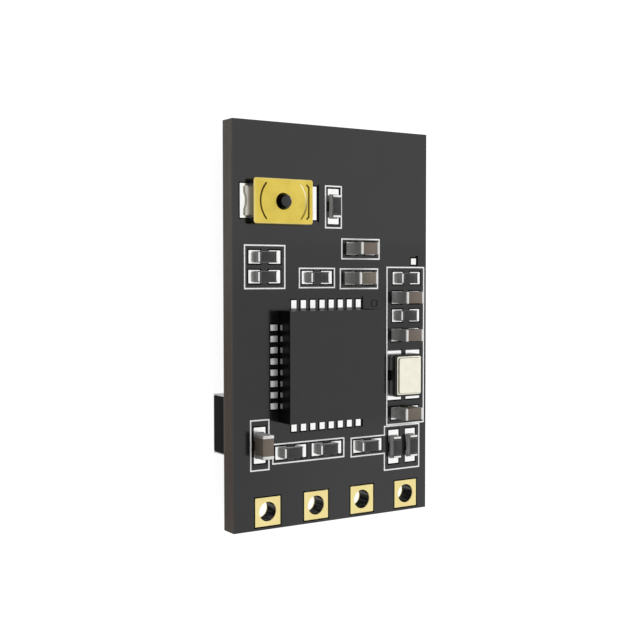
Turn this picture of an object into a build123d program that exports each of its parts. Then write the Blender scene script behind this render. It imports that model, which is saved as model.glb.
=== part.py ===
from build123d import *
import math
import os

# Radio receiver board for a model: a two-sided circuit module with a push button,
# a controller chip and passive chips on its front, and the radio side on its back.
# It lies on the parts of its back, with its front up. Millimetres, +Z up, +Y is the
# end away from the wire pads. The origin is the centre of the resting footprint.

# Board
BOARD_WIDTH = 10.55
BOARD_LENGTH = 18.07
LAMINATE_THICKNESS = 0.8
MASK_THICKNESS = 0.05
LAND_THICKNESS = 0.05
MASK_CLEARANCE = 0.06
LEGEND_THICKNESS = 0.02
LEGEND_LINE = 0.08

# Wire pads along the lower edge
WIRE_PAD_COUNT = 4
WIRE_PAD_PITCH = 2.54
WIRE_PAD_SIDE = 1.28
WIRE_HOLE_DIAMETER = 0.88
WIRE_ROW_OFFSET = 0.25
WIRE_ROW_FROM_EDGE = 0.80

# Lands of the small chip parts
CHIP_LAND_SIDE = 0.58
CHIP_LAND_GAP = 0.44
TEST_LAND_SIDE = 0.29
TEST_LAND_PLACE = (92.8, 33.8)

# Chip resistors
RESISTOR_LENGTH = 1.0
RESISTOR_WIDTH = 0.50
RESISTOR_HEIGHT = 0.33
RESISTOR_TERMINAL_WIDTH = 0.42
RESISTOR_TERMINAL_LEG = 0.16
RESISTOR_TERMINAL_WALL = 0.03
RESISTOR_COAT = 0.02

# Chip capacitors
CAPACITOR_LENGTH = 1.07
CAPACITOR_WIDTH = 0.56
CAPACITOR_HEIGHT = 0.80
CAPACITOR_TERMINAL_LEG = 0.15
CAPACITOR_TERMINAL_WALL = 0.03
CAPACITOR_STEP = 0.01
CAPACITOR_EDGE = 0.03

# Solder at the ends of the chips
SOLDER_REACH = 0.06
SOLDER_RISE_SHARE = 0.20
SOLDER_BROW = 0.01

# Push button
SWITCH_PLACE = (22.0, 19.5)
SWITCH_LENGTH = 3.0
SWITCH_WIDTH = 2.0
SWITCH_TOP = 0.467
SWITCH_COVER_THICKNESS = 0.10
SWITCH_COVER_CORNER = 0.12
SWITCH_COVER_EDGE = 0.04
SWITCH_COVER_SKIRT = 0.25
SWITCH_BASE_CLEARANCE = 0.02
SWITCH_CAVITY_DIAMETER = 1.50
SWITCH_FLOOR = 0.10
SWITCH_GROOVE_WIDTH = 0.08
SWITCH_GROOVE_DEPTH = 0.06
SWITCH_LEFT_ARC_RADIUS = 1.19
SWITCH_RIGHT_ARC_RADIUS = 1.15
SWITCH_ARC_HALF_ANGLE = 42.0
SWITCH_BAR_OFFSET = 1.27
SWITCH_BAR_LENGTH = 1.54
SWITCH_BAR_HOOK = 0.12
PLUNGER_DIAMETER = 0.66
PLUNGER_HOLE_CLEARANCE = 0.02
PLUNGER_STAND_OUT = 0.167
PLUNGER_EDGE = 0.10
PLUNGER_FLANGE_DIAMETER = 1.0
PLUNGER_FLANGE_THICKNESS = 0.06
PLUNGER_FLANGE_GAP = 0.01
DOME_DIAMETER = 1.40
DOME_THICKNESS = 0.03
TERMINAL_FOOT_REACH = 0.25
TERMINAL_FOOT_HEIGHT = 0.10
TERMINAL_WIDTH = 1.28
TERMINAL_NOTCH_RADIUS = 0.75
TERMINAL_NOTCH_DEPTH = 0.09
TERMINAL_RELIEF = 0.08
TERMINAL_WALL = 0.10
TERMINAL_WALL_TOP = 0.34
TERMINAL_STRIP_WIDTH = 0.50
TERMINAL_STRIP_HEIGHT = 0.08
SWITCH_LAND_SPAN = 3.92
SWITCH_LAND_LENGTH = 0.62
SWITCH_LAND_WIDTH = 1.50

# Controller chip
CONTROLLER_PLACE = (45.8, 60.0)
CONTROLLER_SIDE = 5.0
CONTROLLER_HEIGHT = 0.93
CONTROLLER_LEADS_PER_SIDE = 8
CONTROLLER_PADDLE = 3.4

# Shared shape of the leadless chips
LEAD_PITCH = 0.5
LEAD_WIDTH = 0.23
LEAD_LENGTH = 0.40
LEAD_THICKNESS = 0.25
LEAD_UNDERCUT = 0.06
LEAD_STAND_OFF = 0.06
LEAD_LAND_WIDTH = 0.27
LEAD_LAND_OUT = 0.455
LEAD_LAND_IN = 0.42

# Crystals
CRYSTAL_PLACE = (87.2, 63.8)
CRYSTAL_WIDTH = 1.60
CRYSTAL_LENGTH = 2.00
CRYSTAL_BASE_HEIGHT = 0.42
CRYSTAL_BASE_CORNER = 0.10
CRYSTAL_LID_WIDTH = 1.40
CRYSTAL_LID_LENGTH = 1.82
CRYSTAL_LID_CORNER = 0.10
CRYSTAL_LID_RIM = 0.05
CRYSTAL_PANEL_HEIGHT = 0.08
CRYSTAL_PANEL_INSET = 0.06
CRYSTAL_PANEL_EDGE = 0.02
CRYSTAL_PAD_WIDTH = 0.60
CRYSTAL_PAD_LENGTH = 0.70
CRYSTAL_PAD_THICKNESS = 0.02
CRYSTAL_PAD_INSET = 0.06
CRYSTAL_LAND_WIDTH = 0.82
CRYSTAL_LAND_LENGTH = 0.92
CRYSTAL_LAND_SPAN_X = 1.914
CRYSTAL_LAND_SPAN_Y = 2.34

# Power inductor on the back
INDUCTOR_LENGTH = 2.65
INDUCTOR_WIDTH = 2.00
INDUCTOR_FROM_EDGE = 0.08
POWER_ROW = 74.3
INDUCTOR_HEIGHT = 1.20
INDUCTOR_EDGE = 0.06
INDUCTOR_PLATE = 0.05
INDUCTOR_LEG = 0.60
INDUCTOR_LAND_WIDTH = 1.9
INDUCTOR_LAND_LENGTH = 0.75

# Voltage regulator on the back
REGULATOR_PLACE = (76.1, POWER_ROW)
REGULATOR_LENGTH = 2.90
REGULATOR_WIDTH = 1.60
REGULATOR_HEIGHT = 1.15
REGULATOR_BODY_CLEAR = 0.10
REGULATOR_TAPER = 0.10
REGULATOR_LEAD_PITCH = 0.95
REGULATOR_LEAD_WIDTH = 0.40
REGULATOR_LEAD_THICKNESS = 0.15
REGULATOR_LEAD_SPAN = 2.80
REGULATOR_LEAD_FOOT = 0.35
REGULATOR_LEAD_KNEE = 0.16
REGULATOR_LEAD_LEVEL = 0.50

# Radio transceiver on the back
RADIO_ROW = 43.8
TRANSCEIVER_PLACE = (53.3, RADIO_ROW)
TRANSCEIVER_SIDE = 4.0
TRANSCEIVER_HEIGHT = 0.90
TRANSCEIVER_LEADS_PER_SIDE = 6
TRANSCEIVER_PADDLE = 2.6

# Reference oscillator on the back
OSCILLATOR_PLACE = (18.8, RADIO_ROW)

# Antenna socket on the back
SOCKET_PLACE = (50.0, 14.4)
SOCKET_SIDE = 2.60
SOCKET_BASE_HEIGHT = 0.35
SOCKET_HEIGHT = 1.25
SOCKET_RING_DIAMETER = 2.00
SOCKET_RING_WALL = 0.12
SOCKET_BEAD_DEPTH = 0.06
SOCKET_BEAD_HEIGHT = 0.18
SOCKET_PIN_DIAMETER = 0.50
SOCKET_PIN_HEIGHT = 1.00
SOCKET_FOOT_LENGTH = 0.25
SOCKET_FOOT_WIDTH = 1.60
SOCKET_FOOT_THICKNESS = 0.12
SOCKET_TAIL_WIDTH = 0.60

# Where each chip part stands, in hundredths of the board: from its left edge, from its
# top edge, both seen from the front, and the turn of the part's long side
RESISTOR_PLACES = [
    (49.2, 20.1, 90),
    (15.0, 33.0, 0),
    (14.9, 37.8, 0),
    (40.8, 38.0, 0),
    (88.8, 38.2, 0),
    (88.5, 48.1, 0),
    (27.6, 81.4, 0),
    (45.7, 81.4, 0),
    (67.4, 81.7, 0),
    (81.7, 82.7, 90),
    (91.0, 82.7, 90),
]
CAPACITOR_PLACES = [
    (63.7, 30.6, 0),
    (62.9, 38.2, 0),
    (88.3, 43.3, 0),
    (88.1, 53.2, 0),
    (88.0, 73.9, 0),
    (12.4, 79.0, 90),
]
BACK_RESISTOR_PLACES = [
    (53.3, 85.0, 0),
    (76.1, 88.0, 0),
]
BACK_CAPACITOR_PLACES = [
    (32.0, POWER_ROW, 90),
    (47.6, POWER_ROW, 90),
    (85.5, 36.6, 90),
    (85.5, 51.0, 90),
]

# Margins from lands to the outer edge of the printed frames: left, top, right, bottom
FRAME_SINGLE_MARGINS = (0.18, 0.16, 0.18, 0.21)
FRAME_PAIR_MARGINS = (0.24, 0.26, 0.26, 0.27)
FRAME_UPRIGHT_PAIR_MARGINS = (0.29, 0.24, 0.28, 0.33)
FRAME_CAPACITOR_MARGINS = (0.31, 0.18, 0.27, 0.23)
FRAME_UPRIGHT_CAPACITOR_MARGINS = (0.21, 0.35, 0.21, 0.35)
FRAME_COLUMN_MARGINS = (0.31, 0.26, 0.27, 0.27)

# Levels: the module rests on the tallest part of its back
SEAT_THICKNESS = max(MASK_THICKNESS, LAND_THICKNESS)
BACK_SEAT = max(SOCKET_HEIGHT, INDUCTOR_HEIGHT, REGULATOR_HEIGHT, TRANSCEIVER_HEIGHT, CAPACITOR_HEIGHT)
CORE_BOTTOM = BACK_SEAT + SEAT_THICKNESS
CORE_TOP = CORE_BOTTOM + LAMINATE_THICKNESS
FRONT_SEAT = CORE_TOP + SEAT_THICKNESS
FRONT_LEVEL = CORE_TOP + MASK_THICKNESS
BACK_LEVEL = CORE_BOTTOM - MASK_THICKNESS

LOW = (Align.CENTER, Align.CENTER, Align.MIN)
CHIP_LAND_PITCH = CHIP_LAND_SIDE + CHIP_LAND_GAP
INDUCTOR_PLACE = (100 * (INDUCTOR_FROM_EDGE + INDUCTOR_WIDTH / 2) / BOARD_WIDTH, POWER_ROW)


def across(place):
    """Row x of a place."""
    return BOARD_WIDTH * (place[0] / 100 - 0.5)


def along(place):
    """Row y of a place, which counts from the top edge down."""
    return BOARD_LENGTH * (0.5 - place[1] / 100)


def turn(place):
    return place[2] if len(place) > 2 else 0


def on_front(place, part, level=FRONT_SEAT):
    """A part drawn upright at the origin, stood on the front of the board."""
    return Pos(across(place), along(place), level) * Rot(0, 0, turn(place)) * part


def on_back(place, part, level=BACK_SEAT):
    """The same part, hung below the back of the board."""
    return Pos(across(place), along(place), level) * Rot(0, 180, 0) * Rot(0, 0, turn(place)) * part


def block(width, length, height, x=0.0, y=0.0, z=0.0):
    """A block that stands on the level z, centred on x and y."""
    return Pos(x, y, z) * Box(width, length, height, align=LOW)


def post(diameter, height, x=0.0, y=0.0, z=0.0):
    return Pos(x, y, z) * Cylinder(diameter / 2, height, align=LOW)


def rounded_plate(width, length, corner, height, z=0.0):
    return Pos(0, 0, z) * extrude(RectangleRounded(width, length, corner), height)


def side_profile(points, width):
    """A profile in x and z, pushed half of the width each way along y."""
    outline = Plane.XZ * make_face(Polyline(*points, close=True))
    return extrude(outline, width / 2, both=True)


# Small chips


def resistor_body():
    """Ceramic slab, let in under its end caps, with a coat between them on top."""
    wall = RESISTOR_TERMINAL_WALL
    legs = RESISTOR_LENGTH - 2 * RESISTOR_TERMINAL_LEG
    slab_height = RESISTOR_HEIGHT - 2 * wall
    slab = block(RESISTOR_LENGTH - 2 * wall, RESISTOR_WIDTH, slab_height, z=wall)
    coat = block(legs, RESISTOR_WIDTH - 2 * RESISTOR_COAT, wall, z=RESISTOR_HEIGHT - wall)
    return slab + coat


def resistor_terminal(side):
    """One end cap, folded round the end of the slab like a C."""
    wall = RESISTOR_TERMINAL_WALL
    end = RESISTOR_LENGTH / 2
    inner = end - RESISTOR_TERMINAL_LEG
    points = [
        (inner, 0),
        (end, 0),
        (end, RESISTOR_HEIGHT),
        (inner, RESISTOR_HEIGHT),
        (inner, RESISTOR_HEIGHT - wall),
        (end - wall, RESISTOR_HEIGHT - wall),
        (end - wall, wall),
        (inner, wall),
    ]
    return side_profile([(side * x, z) for x, z in points], RESISTOR_TERMINAL_WIDTH)


def capacitor_body():
    """Ceramic block with a thinner tongue at each end for the caps."""
    wall = CAPACITOR_TERMINAL_WALL
    step = CAPACITOR_STEP
    legs = CAPACITOR_LENGTH - 2 * CAPACITOR_TERMINAL_LEG
    middle = block(legs, CAPACITOR_WIDTH - 2 * step, CAPACITOR_HEIGHT - 2 * step, z=step)
    tongue_height = CAPACITOR_HEIGHT - 2 * wall
    tongue = block(CAPACITOR_LENGTH - 2 * wall, CAPACITOR_WIDTH - 2 * wall, tongue_height, z=wall)
    return middle + tongue


def capacitor_terminal(side):
    """One end cap, a shallow box over the tongue."""
    wall = CAPACITOR_TERMINAL_WALL
    leg = CAPACITOR_TERMINAL_LEG
    centre = side * (CAPACITOR_LENGTH - leg) / 2
    cap = block(leg, CAPACITOR_WIDTH, CAPACITOR_HEIGHT, x=centre)
    end_face = cap.faces().sort_by(Axis.X)[-1 if side > 0 else 0]
    cap = chamfer(end_face.edges(), CAPACITOR_EDGE)
    pocket_height = CAPACITOR_HEIGHT - 2 * wall
    pocket = block(leg, CAPACITOR_WIDTH - 2 * wall, pocket_height, x=centre - side * wall, z=wall)
    return cap - pocket


def solder_seam(side, end, height, width):
    """A low seam of solder that rises from the land to the end face of a chip."""
    rise = height * SOLDER_RISE_SHARE
    wall = side * end
    brow = side * (end + SOLDER_BROW)
    foot = side * (end + SOLDER_REACH)
    return side_profile([(wall, 0), (foot, 0), (brow, rise), (wall, rise)], width)


def both_ends(piece, *sizes):
    return [piece(side, *sizes) for side in (-1, 1)]


def chip_lands():
    """The two lands under a small chip."""
    return [(side * CHIP_LAND_PITCH / 2, 0, CHIP_LAND_SIDE, CHIP_LAND_SIDE) for side in (-1, 1)]


# Leadless chips


def lead_places(side_length, count):
    """Centre and turn of each lead: count of them along each of four sides."""
    places = []
    for quarter in range(4):
        for index in range(count):
            offset = (index - (count - 1) / 2) * LEAD_PITCH
            places.append((quarter * 90, side_length / 2, offset))
    return places


def leadless_leads(side_length, count, paddle):
    """Sawn-off lead ends round the foot of the body, undercut outside, and the paddle."""
    leads = []
    for angle, reach, offset in lead_places(side_length, count):
        lead = block(LEAD_LENGTH, LEAD_WIDTH, LEAD_THICKNESS, x=reach - LEAD_LENGTH / 2, y=offset)
        lead -= block(LEAD_UNDERCUT, LEAD_WIDTH, LEAD_STAND_OFF, x=reach - LEAD_UNDERCUT / 2, y=offset)
        leads.append(Rot(0, 0, angle) * lead)
    leads.append(block(paddle, paddle, LEAD_THICKNESS))
    return leads


def leadless_body(side_length, height, count, paddle):
    """Moulded body, standing a little above the land, cast round its leads."""
    body = block(side_length, side_length, height - LEAD_STAND_OFF, z=LEAD_STAND_OFF)
    return body - leadless_leads(side_length, count, paddle)


def leadless_lands(side_length, count, paddle):
    """Lands of a leadless chip, as centre and size, and the land of its paddle."""
    lands = [(0, 0, paddle, paddle)]
    length = LEAD_LAND_OUT + LEAD_LAND_IN
    for angle, reach, offset in lead_places(side_length, count):
        middle = reach + (LEAD_LAND_OUT - LEAD_LAND_IN) / 2
        direction = math.radians(angle)
        x = middle * math.cos(direction) - offset * math.sin(direction)
        y = middle * math.sin(direction) + offset * math.cos(direction)
        upright = angle % 180 == 90
        width = LEAD_LAND_WIDTH if upright else length
        height = length if upright else LEAD_LAND_WIDTH
        lands.append((x, y, width, height))
    return lands


def row_windows(side_length, count, paddle):
    """Mask windows of a leadless chip: one over each row of lands, and the paddle's."""
    length = LEAD_LAND_OUT + LEAD_LAND_IN
    row = (count - 1) * LEAD_PITCH + LEAD_LAND_WIDTH
    middle = side_length / 2 + (LEAD_LAND_OUT - LEAD_LAND_IN) / 2
    windows = [(0, 0, paddle, paddle)]
    for side in (-1, 1):
        windows += [(side * middle, 0, length, row), (0, side * middle, row, length)]
    return windows


# Crystals


def crystal_corners(span_x, span_y, width, length):
    """Four rectangles in the corners of a span, as centre and size."""
    return [
        (sx * (span_x - width) / 2, sy * (span_y - length) / 2, width, length)
        for sx in (-1, 1)
        for sy in (-1, 1)
    ]


def crystal_pads():
    """Metal pads under the four corners of the ceramic base."""
    inset = 2 * CRYSTAL_PAD_INSET
    span_x, span_y = CRYSTAL_WIDTH - inset, CRYSTAL_LENGTH - inset
    corners = crystal_corners(span_x, span_y, CRYSTAL_PAD_WIDTH, CRYSTAL_PAD_LENGTH)
    return [block(width, length, CRYSTAL_PAD_THICKNESS, x, y) for x, y, width, length in corners]


def crystal_base():
    """Ceramic tray with cut corners."""
    base = block(
        CRYSTAL_WIDTH,
        CRYSTAL_LENGTH,
        CRYSTAL_BASE_HEIGHT - CRYSTAL_PAD_THICKNESS,
        z=CRYSTAL_PAD_THICKNESS,
    )
    return chamfer(base.edges().filter_by(Axis.Z), CRYSTAL_BASE_CORNER)


def crystal_lid():
    """Welded metal lid: a flat rim and a raised panel inside it."""
    rim = rounded_plate(
        CRYSTAL_LID_WIDTH, CRYSTAL_LID_LENGTH, CRYSTAL_LID_CORNER, CRYSTAL_LID_RIM, CRYSTAL_BASE_HEIGHT
    )
    inset = 2 * CRYSTAL_PANEL_INSET
    panel = rounded_plate(
        CRYSTAL_LID_WIDTH - inset,
        CRYSTAL_LID_LENGTH - inset,
        CRYSTAL_LID_CORNER,
        CRYSTAL_PANEL_HEIGHT,
        CRYSTAL_BASE_HEIGHT + CRYSTAL_LID_RIM,
    )
    panel = chamfer(panel.faces().sort_by(Axis.Z)[-1].edges(), CRYSTAL_PANEL_EDGE)
    return rim + panel


def crystal_lands():
    return crystal_corners(
        CRYSTAL_LAND_SPAN_X, CRYSTAL_LAND_SPAN_Y, CRYSTAL_LAND_WIDTH, CRYSTAL_LAND_LENGTH
    )


# Push button

COVER_BOTTOM = SWITCH_TOP - SWITCH_COVER_THICKNESS
FLANGE_TOP = COVER_BOTTOM - PLUNGER_FLANGE_GAP
FLANGE_BOTTOM = FLANGE_TOP - PLUNGER_FLANGE_THICKNESS
BASE_WIDTH = SWITCH_WIDTH - 2 * SWITCH_COVER_THICKNESS - 2 * SWITCH_BASE_CLEARANCE


def arc_groove(radius, middle_angle):
    """A fine groove that follows an arc about the plunger."""
    width = SWITCH_GROOVE_WIDTH
    start = middle_angle - SWITCH_ARC_HALF_ANGLE
    path = CenterArc((0, 0), radius, start, 2 * SWITCH_ARC_HALF_ANGLE)
    return trace(path, width)


def bar_groove():
    """A straight groove with a short hook at each end."""
    half = SWITCH_BAR_LENGTH / 2
    hook = SWITCH_BAR_HOOK
    bar = SWITCH_BAR_OFFSET
    path = Polyline((bar - hook, half), (bar, half - hook), (bar, hook - half), (bar - hook, -half))
    return trace(path, SWITCH_GROOVE_WIDTH)


def switch_cover():
    """Stamped cover with two folded sides, pressed arcs and the hole of the plunger."""
    plate = rounded_plate(
        SWITCH_LENGTH, SWITCH_WIDTH, SWITCH_COVER_CORNER, SWITCH_COVER_THICKNESS, COVER_BOTTOM
    )
    plate = chamfer(plate.faces().sort_by(Axis.Z)[-1].edges(), SWITCH_COVER_EDGE)
    skirt_length = SWITCH_LENGTH - 4 * SWITCH_COVER_CORNER
    skirt_offset = (SWITCH_WIDTH - SWITCH_COVER_THICKNESS) / 2
    for side in (-1, 1):
        plate += block(
            skirt_length,
            SWITCH_COVER_THICKNESS,
            SWITCH_COVER_SKIRT,
            y=side * skirt_offset,
            z=COVER_BOTTOM - SWITCH_COVER_SKIRT,
        )
    grooves = [arc_groove(SWITCH_LEFT_ARC_RADIUS, 180), arc_groove(SWITCH_RIGHT_ARC_RADIUS, 0), bar_groove()]
    for groove in grooves:
        plate -= Pos(0, 0, SWITCH_TOP - SWITCH_GROOVE_DEPTH) * extrude(groove, SWITCH_GROOVE_DEPTH)
    hole = PLUNGER_DIAMETER + 2 * PLUNGER_HOLE_CLEARANCE
    return plate - post(hole, SWITCH_COVER_THICKNESS, z=COVER_BOTTOM)


def switch_plunger():
    """Push rod with a softened edge and a flange that the cover holds in."""
    flange = PLUNGER_FLANGE_DIAMETER / 2
    rod = PLUNGER_DIAMETER / 2
    top = SWITCH_TOP + PLUNGER_STAND_OUT
    bow = PLUNGER_EDGE * (1 - math.sqrt(0.5))
    points = [
        (0, FLANGE_BOTTOM),
        (flange, FLANGE_BOTTOM),
        (flange, FLANGE_TOP),
        (rod, FLANGE_TOP),
        (rod, top - PLUNGER_EDGE),
        (rod - bow, top - bow),
        (rod - PLUNGER_EDGE, top),
        (0, top),
    ]
    return revolve(Plane.XZ * make_face(Polyline(*points, close=True)), Axis.Z)


def switch_dome():
    """Snap dome: a thin shell of a sphere that stands on its rim under the plunger."""
    rise = FLANGE_BOTTOM - SWITCH_FLOOR
    rim = DOME_DIAMETER / 2
    radius = (rim * rim + rise * rise) / (2 * rise)
    centre = SWITCH_FLOOR + rise - radius
    shell = Pos(0, 0, centre) * (Sphere(radius) - Sphere(radius - DOME_THICKNESS))
    return shell & post(2 * DOME_DIAMETER, rise, z=SWITCH_FLOOR)


def switch_terminal(side):
    """Foot, upright and inner contact strip of one terminal, in one bent strip."""
    body_end = SWITCH_LENGTH / 2
    foot = block(
        TERMINAL_FOOT_REACH,
        TERMINAL_WIDTH,
        TERMINAL_FOOT_HEIGHT,
        x=side * (body_end + TERMINAL_FOOT_REACH / 2),
    )
    notch_centre = body_end + TERMINAL_FOOT_REACH - TERMINAL_NOTCH_DEPTH + TERMINAL_NOTCH_RADIUS
    foot -= post(2 * TERMINAL_NOTCH_RADIUS, TERMINAL_FOOT_HEIGHT, x=side * notch_centre)
    relief = TERMINAL_RELIEF
    for end in (-1, 1):
        beside = end * (TERMINAL_WIDTH - relief) / 2
        foot -= block(relief, relief, TERMINAL_FOOT_HEIGHT, side * (body_end + relief / 2), beside)
    upright = block(
        TERMINAL_WALL, TERMINAL_WIDTH, TERMINAL_WALL_TOP, x=side * (body_end - TERMINAL_WALL / 2)
    )
    reach = -side * TERMINAL_STRIP_WIDTH / 2 if side < 0 else side * DOME_DIAMETER / 2 - TERMINAL_WALL
    strip_end = side * (body_end - TERMINAL_WALL)
    strip = block(
        abs(strip_end - reach),
        TERMINAL_STRIP_WIDTH,
        TERMINAL_STRIP_HEIGHT,
        x=(strip_end + reach) / 2,
        z=SWITCH_FLOOR - TERMINAL_STRIP_HEIGHT,
    )
    return foot + upright + strip


def switch_base():
    """Moulded tray with a round chamber for the dome, cast round the terminals."""
    base = block(SWITCH_LENGTH, BASE_WIDTH, COVER_BOTTOM)
    base -= post(SWITCH_CAVITY_DIAMETER, COVER_BOTTOM - SWITCH_FLOOR, z=SWITCH_FLOOR)
    return base - both_ends(switch_terminal)


def switch_lands():
    offset = (SWITCH_LAND_SPAN - SWITCH_LAND_LENGTH) / 2
    return [(side * offset, 0, SWITCH_LAND_LENGTH, SWITCH_LAND_WIDTH) for side in (-1, 1)]


# Back of the board


def inductor_body():
    """Moulded block with softened edges, a plate's thickness short at each end."""
    body = block(
        INDUCTOR_WIDTH, INDUCTOR_LENGTH - 2 * INDUCTOR_PLATE, INDUCTOR_HEIGHT - INDUCTOR_PLATE, z=INDUCTOR_PLATE
    )
    return chamfer(body.faces().sort_by(Axis.Z)[-1].edges(), INDUCTOR_EDGE)


def inductor_terminal(side):
    """An L of plate over one end of the block, with its leg on the land."""
    inner = INDUCTOR_LENGTH / 2 - INDUCTOR_LEG
    outer = INDUCTOR_LENGTH / 2
    top = INDUCTOR_HEIGHT - INDUCTOR_EDGE
    points = [
        (inner, 0),
        (outer, 0),
        (outer, top),
        (outer - INDUCTOR_PLATE, top),
        (outer - INDUCTOR_PLATE, INDUCTOR_PLATE),
        (inner, INDUCTOR_PLATE),
    ]
    return Rot(0, 0, 90) * side_profile([(side * x, z) for x, z in points], INDUCTOR_WIDTH)


def inductor_lands():
    offset = INDUCTOR_LENGTH / 2 - INDUCTOR_LEG / 2
    return [(0, side * offset, INDUCTOR_LAND_WIDTH, INDUCTOR_LAND_LENGTH) for side in (-1, 1)]


def regulator_lead_places():
    """Three leads along one side and the two outer ones along the other."""
    outer = REGULATOR_LEAD_PITCH
    return [(-1, -outer), (-1, 0), (-1, outer), (1, -outer), (1, outer)]


def regulator_lead(side, offset):
    """A gull-wing lead: flat into the body, down, and flat on the land."""
    thick = REGULATOR_LEAD_THICKNESS
    tip = REGULATOR_LEAD_SPAN / 2
    knee = tip - REGULATOR_LEAD_FOOT
    body = REGULATOR_WIDTH / 2
    inner = body - REGULATOR_LEAD_KNEE
    level = REGULATOR_LEAD_LEVEL
    points = [
        (tip, 0),
        (knee, 0),
        (knee - thick, level),
        (inner, level),
        (inner, level + thick),
        (knee, level + thick),
        (knee + thick, thick),
        (tip, thick),
    ]
    lead = side_profile([(side * x, z) for x, z in points], REGULATOR_LEAD_WIDTH)
    return Pos(0, offset, 0) * lead


def regulator_leads():
    return [regulator_lead(side, offset) for side, offset in regulator_lead_places()]


def regulator_body():
    """Moulded body that tapers up and down from the level of its leads."""
    middle = REGULATOR_LEAD_LEVEL + REGULATOR_LEAD_THICKNESS / 2
    taper = 2 * REGULATOR_TAPER
    waist = Plane.XY.offset(middle) * Rectangle(REGULATOR_WIDTH, REGULATOR_LENGTH)
    top = Plane.XY.offset(REGULATOR_HEIGHT) * Rectangle(REGULATOR_WIDTH - taper, REGULATOR_LENGTH - taper)
    foot = Plane.XY.offset(REGULATOR_BODY_CLEAR) * Rectangle(REGULATOR_WIDTH - taper, REGULATOR_LENGTH - taper)
    body = loft([waist, top]) + loft([foot, waist])
    return body - regulator_leads()


def regulator_lands():
    middle = (REGULATOR_LEAD_SPAN - REGULATOR_LEAD_FOOT) / 2
    return [
        (side * middle, offset, REGULATOR_LEAD_FOOT * 2, REGULATOR_LEAD_WIDTH * 1.4)
        for side, offset in regulator_lead_places()
    ]


def socket_ring():
    """Outer contact: a turned ring with a bead for the plug, and a foot each side."""
    outer = SOCKET_RING_DIAMETER / 2
    inner = outer - SOCKET_RING_WALL
    bead_low = SOCKET_HEIGHT - 2 * SOCKET_BEAD_HEIGHT
    waist = outer - SOCKET_BEAD_DEPTH
    points = [
        (inner, SOCKET_BASE_HEIGHT),
        (outer, SOCKET_BASE_HEIGHT),
        (outer, bead_low - SOCKET_BEAD_HEIGHT),
        (waist, bead_low),
        (outer, SOCKET_HEIGHT - SOCKET_BEAD_HEIGHT),
        (outer, SOCKET_HEIGHT - SOCKET_BEAD_DEPTH),
        (waist, SOCKET_HEIGHT),
        (inner, SOCKET_HEIGHT),
    ]
    ring = revolve(Plane.XZ * make_face(Polyline(*points, close=True)), Axis.Z)
    for side in (-1, 1):
        ring += socket_foot(side)
    return ring


def socket_foot(side):
    """Strap from under the ring, over the side of the base and out on the land."""
    outer = SOCKET_SIDE / 2 + SOCKET_FOOT_LENGTH
    edge = SOCKET_SIDE / 2
    thick = SOCKET_FOOT_THICKNESS
    inner = SOCKET_RING_DIAMETER / 2 - SOCKET_RING_WALL
    top = SOCKET_BASE_HEIGHT
    points = [
        (outer, 0),
        (edge, 0),
        (edge, top - thick),
        (inner, top - thick),
        (inner, top),
        (edge + thick, top),
        (edge + thick, thick),
        (outer, thick),
    ]
    return side_profile([(side * x, z) for x, z in points], SOCKET_FOOT_WIDTH)


def socket_pin():
    """Centre contact, with its tail out along the board."""
    pin = post(SOCKET_PIN_DIAMETER, SOCKET_PIN_HEIGHT - SOCKET_FOOT_THICKNESS, z=SOCKET_FOOT_THICKNESS)
    pin = chamfer(pin.faces().sort_by(Axis.Z)[-1].edges(), SOCKET_BEAD_DEPTH)
    tail_length = SOCKET_SIDE / 2 + SOCKET_FOOT_LENGTH + SOCKET_PIN_DIAMETER / 2
    tail_middle = tail_length / 2 - SOCKET_PIN_DIAMETER / 2
    return pin + block(SOCKET_TAIL_WIDTH, tail_length, SOCKET_FOOT_THICKNESS, y=-tail_middle)


def socket_base():
    """Moulded square under the ring, cast round both contacts."""
    base = block(SOCKET_SIDE, SOCKET_SIDE, SOCKET_BASE_HEIGHT)
    base = chamfer(base.edges().filter_by(Axis.Z), SOCKET_RING_WALL)
    return base - [socket_foot(-1), socket_foot(1), socket_pin()]


def socket_lands():
    outer = SOCKET_SIDE / 2 + SOCKET_FOOT_LENGTH
    return [
        (-outer, 0, 4 * SOCKET_FOOT_LENGTH, SOCKET_FOOT_WIDTH),
        (outer, 0, 4 * SOCKET_FOOT_LENGTH, SOCKET_FOOT_WIDTH),
        (0, -outer, SOCKET_TAIL_WIDTH, 4 * SOCKET_FOOT_LENGTH),
    ]


# Board


def land_shapes(parts):
    """Rectangles of all lands, as centre and size on the board."""
    shapes = []
    for place, lands in parts:
        quarter = turn(place) == 90
        for x, y, width, length in lands:
            dx, dy = (-y, x) if quarter else (x, y)
            size = (length, width) if quarter else (width, length)
            shapes.append((across(place) + dx, along(place) + dy, *size))
    return shapes


def front_land_shapes(leadless=leadless_lands):
    chips = [(place, chip_lands()) for place in RESISTOR_PLACES + CAPACITOR_PLACES]
    chips.append((SWITCH_PLACE, switch_lands()))
    chips.append((CRYSTAL_PLACE, crystal_lands()))
    chips.append((TEST_LAND_PLACE, [(0, 0, TEST_LAND_SIDE, TEST_LAND_SIDE)]))
    chips.append(
        (CONTROLLER_PLACE, leadless(CONTROLLER_SIDE, CONTROLLER_LEADS_PER_SIDE, CONTROLLER_PADDLE))
    )
    return land_shapes(chips)


def mirrored(lands):
    """Lands of a part that hangs below the board, seen from above."""
    return [(-x, y, width, length) for x, y, width, length in lands]


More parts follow.
